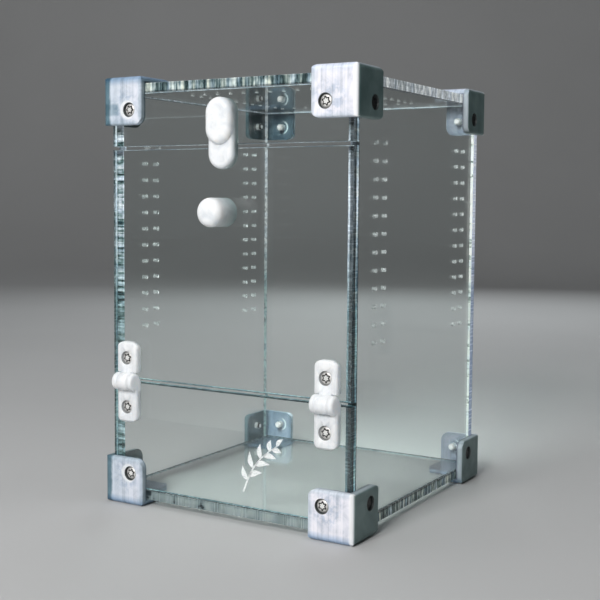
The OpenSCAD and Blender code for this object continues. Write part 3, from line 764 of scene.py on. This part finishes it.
def screws(name, node, body, side, places, mesh):
    """One object holding the screws of a group, each turned a little differently."""
    bm = bmesh.new()
    rng = random.Random(name)
    for p in places:
        tmp = mesh.copy()
        spin = Matrix.Rotation(rng.uniform(0, 6.283), 4, "Z")
        tmp.transform(Matrix.Translation(Vector(p) * MM) @ FACING[side] @ spin)
        bm.from_mesh(tmp)
        bpy.data.meshes.remove(tmp)
    me = bpy.data.meshes.new(name)
    bm.to_mesh(me)
    bm.free()
    # side screws take the near-black steel, painted shade; the others pale steel with a painted-dark socket and
    # painted-bright floor
    shade = side in ("left", "right")
    for mm_ in (M_SHADE if shade else M_STEEL, M_TIP, M_SOCKET, M_SHADE if shade else M_FLOOR):
        me.materials.append(mm_)
    o = link(bpy.data.objects.new(name, me))
    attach(o, body)
    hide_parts(node)
    return o


SEAT = 1.25
for side in ("front", "rear"):
    y = YF - SEAT if side == "front" else YR + SEAT
    screws("screws_" + side, "corner_screws_" + side, "case", side,
           [(s * CX, y, z) for s in (-1, 1) for z in ZS], SCREW6)
for side in ("left", "right"):
    x = -W2 - SEAT if side == "left" else W2 + SEAT
    screws("screws_" + side, "corner_screws_" + side, "case", side,
           [(x, s * (63.0 - HIN) + YS, z) for s in (-1, 1) for z in ZS], SCREW6)
LS = 3.5 - 1.8
screws("screws_hinge_base", "hinge_base_screws", "case", "front",
       [(s * HX, YF - LS, HZ - SDN) for s in (-1, 1)], SCREW6_SMALL)
screws("screws_hinge_leaf", "hinge_leaf_screws", "door", "front",
       [(s * HX, YF - LS, HZ + SUP) for s in (-1, 1)], SCREW6_SMALL)
screws("screw_knob", "knob_screw", "door", "rear", [(0, YF + T + 0.05, KZ)], SCREW12)
screws("screw_latch", "latch_screw", "latch", "rear", [(0, YF + T + 0.1, LZ)], SCREW8)


# ---------------------------------------------------------------- printed pieces and pins
def dress(name, mat, bevel=None, segments=2, angle=35):
    o = nodes[name]
    o.data.materials.clear()
    o.data.materials.append(mat)
    for f in o.data.polygons:
        f.use_smooth = True
    w = o.modifiers.new("weld", "WELD")
    w.merge_threshold = 1e-6
    if bevel:
        b = o.modifiers.new("bevel", "BEVEL")
        b.width = bevel * MM
        b.segments = segments
        b.limit_method = "ANGLE"
        b.angle_limit = math.radians(angle)
        b.harden_normals = False
        b.use_clamp_overlap = True
    n = o.modifiers.new("normals", "WEIGHTED_NORMAL")
    n.keep_sharp = False
    n.weight = 90
    return o


for n in nodes:
    if n.startswith("corner_") and "screws" not in n:
        dress(n, M_CORNER, 0.1)
    elif n.startswith(("hinge_base_left", "hinge_base_right", "hinge_leaf_left", "hinge_leaf_right")):
        dress(n, M_HINGE)
    elif n == "pull_knob":
        dress(n, M_KNOB)
    elif n == "turn_latch":
        dress(n, M_LATCH)
    elif n in ("hinge_pin_left", "hinge_pin_right"):
        dress(n, M_STEEL, 0.08)


# ---------------------------------------------------------------- etched sprig on the bottom strip
def leaf_outline(x, z, ang, length, width, n=14):
    """Closed outline of one leaf from its stalk end, in mm."""
    pts = []
    for side in (1, -1):
        seq = range(n + 1) if side == 1 else range(n - 1, 0, -1)
        for i in seq:
            f = i / n
            w = width / 2 * math.sin(math.pi * f ** 0.8) * (1 - 0.15 * f)
            px = length * f
            pz = side * w + 0.10 * length * math.sin(math.pi * f)
            pts.append((x + px * math.cos(ang) - pz * math.sin(ang),
                        z + px * math.sin(ang) + pz * math.cos(ang)))
    return pts


def stem(points, w0, w1):
    """Tapered strip along points, as one closed outline."""
    left, rgt = [], []
    for i, (x, z) in enumerate(points):
        a = points[max(0, i - 1)]
        b = points[min(len(points) - 1, i + 1)]
        dx, dz = b[0] - a[0], b[1] - a[1]
        d = math.hypot(dx, dz)
        w = (w0 + (w1 - w0) * i / (len(points) - 1)) / 2
        left.append((x - dz / d * w, z + dx / d * w))
        rgt.append((x + dz / d * w, z - dx / d * w))
    return left + rgt[::-1]


def flat_piece(name, body, outlines, y0, y1, mat):
    bm = bmesh.new()
    for pts in outlines:
        a = [bm.verts.new((x * MM, y0 * MM, z * MM)) for x, z in pts]
        b = [bm.verts.new((x * MM, y1 * MM, z * MM)) for x, z in pts]
        k = len(pts)
        bm.faces.new(a)
        bm.faces.new(b[::-1])
        for i in range(k):
            bm.faces.new((a[i], b[i], b[(i + 1) % k], a[(i + 1) % k]))
    bmesh.ops.recalc_face_normals(bm, faces=bm.faces)
    me = bpy.data.meshes.new(name)
    bm.to_mesh(me)
    bm.free()
    me.materials.append(mat)
    o = link(bpy.data.objects.new(name, me))
    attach(o, body)
    return o


def arc(x0, z0, x1, z1, bend, n=18):
    """Points from one end to the other along a gentle bow."""
    pts = []
    for i in range(n + 1):
        f = i / n
        dx, dz = x1 - x0, z1 - z0
        k = bend * math.sin(math.pi * f)
        pts.append((x0 + dx * f - dz * k, z0 + dz * f + dx * k))
    return pts


stalk = arc(9.5, 14.0, 25.5, 35.0, 0.10)
sprig = [stem(stalk, 0.85, 0.35)]
for i, (f, side, ln) in enumerate(((0.20, 1, 6.4), (0.27, -1, 6.8), (0.42, 1, 7.2), (0.49, -1, 7.2),
                                   (0.64, 1, 6.4), (0.71, -1, 6.2), (0.85, 1, 4.9), (0.90, -1, 4.7))):
    k = f * (len(stalk) - 1)
    a, b = stalk[int(k)], stalk[min(len(stalk) - 1, int(k) + 1)]
    x, z = a[0] + (b[0] - a[0]) * (k % 1), a[1] + (b[1] - a[1]) * (k % 1)
    ang = math.atan2(b[1] - a[1], b[0] - a[0]) + side * 0.80
    sprig.append(leaf_outline(x, z, ang, ln, 2.5))
sprig.append(leaf_outline(stalk[-1][0], stalk[-1][1], math.atan2(21, 16) - 0.1, 4.6, 2.0))
flat_piece("etched_sprig", "case", sprig, YF - 0.04, YF + 0.0, M_ETCH)

# ---------------------------------------------------------------- floor, world, lights
fm = Tree("pale_floor")
fp = fm.bsdf(**{"Base Color": (0.53, 0.53, 0.53, 1), "Roughness": 0.7})
fm.link(fm.ramp(fm.noise(fm.coords(), 3, 3, 0.5), [(0.3, (0.51, 0.51, 0.51)), (0.7, (0.55, 0.55, 0.55))]),
        fp.inputs["Base Color"])
fm.link(fp.outputs["BSDF"], fm.out.inputs["Surface"])
bm = bmesh.new()
prof = [(-1.6, 0.0), (1.2, 0.0)]
for i in range(1, 13):
    a = math.radians(90 * i / 12)
    prof.append((1.2 + 0.5 * math.sin(a), 0.5 - 0.5 * math.cos(a)))
prof.append((1.7, 2.2))
rows = []
for (d, z) in prof:
    rows.append([bm.verts.new((x, d, z)) for x in (-3.0, 3.0)])
for a, b in zip(rows, rows[1:]):
    f = bm.faces.new((a[0], a[1], b[1], b[0]))
    f.smooth = True
me = bpy.data.meshes.new("floor")
bm.to_mesh(me)
bm.free()
me.materials.append(fm.mat)
floor = link(bpy.data.objects.new("floor", me))
floor.rotation_euler = (0, 0, AZ)

world = bpy.data.worlds.new("world")
scene.world = world
world.use_nodes = True
bg = world.node_tree.nodes.get("Background") or world.node_tree.nodes.new("ShaderNodeBackground")
wo = next((n for n in world.node_tree.nodes if n.type == "OUTPUT_WORLD"), None) or \
    world.node_tree.nodes.new("ShaderNodeOutputWorld")
world.node_tree.links.new(bg.outputs[0], wo.inputs[0])
bg.inputs[0].default_value = (0.80, 0.86, 0.90, 1)
bg.inputs[1].default_value = 0.09


def area(name, loc, target, size, power, colour=(1, 1, 1), seen=True):
    d = bpy.data.lights.new(name, "AREA")
    d.shape = "RECTANGLE"
    d.size, d.size_y = size
    d.energy = power
    d.color = colour
    o = link(bpy.data.objects.new(name, d))
    o.location = loc
    o.rotation_euler = (Vector(target) - Vector(loc)).to_track_quat("-Z", "Y").to_euler()
    o.visible_camera = False
    o.visible_transmission = False
    o.visible_glossy = seen
    return o


area("key", (0.06, -1.02, 0.70), (0, 0, 0.09), (0.45, 0.35), 12, (1.0, 0.99, 0.98))
area("front", (0.62, -1.05, 0.42), (0, 0, 0.09), (0.6, 0.6), 0.5, (0.97, 0.99, 1.0))
area("top", (-0.1, -0.2, 1.1), (0, 0, 0.09), (0.5, 0.5), 1.8, (0.95, 0.98, 1.0), False)
area("rim", (-0.35, 0.95, 0.55), (0, 0, 0.12), (0.5, 0.4), 3, (0.93, 0.98, 1.0), False)

scene.view_settings.view_transform = "Standard"
scene.view_settings.look = "None"
scene.view_settings.exposure = 0.0

c = scene.cycles if hasattr(scene, "cycles") else None
if c:
    c.max_bounces = 24
    c.transmission_bounces = 24
    c.transparent_max_bounces = 32
    c.glossy_bounces = 8
    c.caustics_refractive = True
    c.caustics_reflective = False
    c.blur_glossy = 0.5
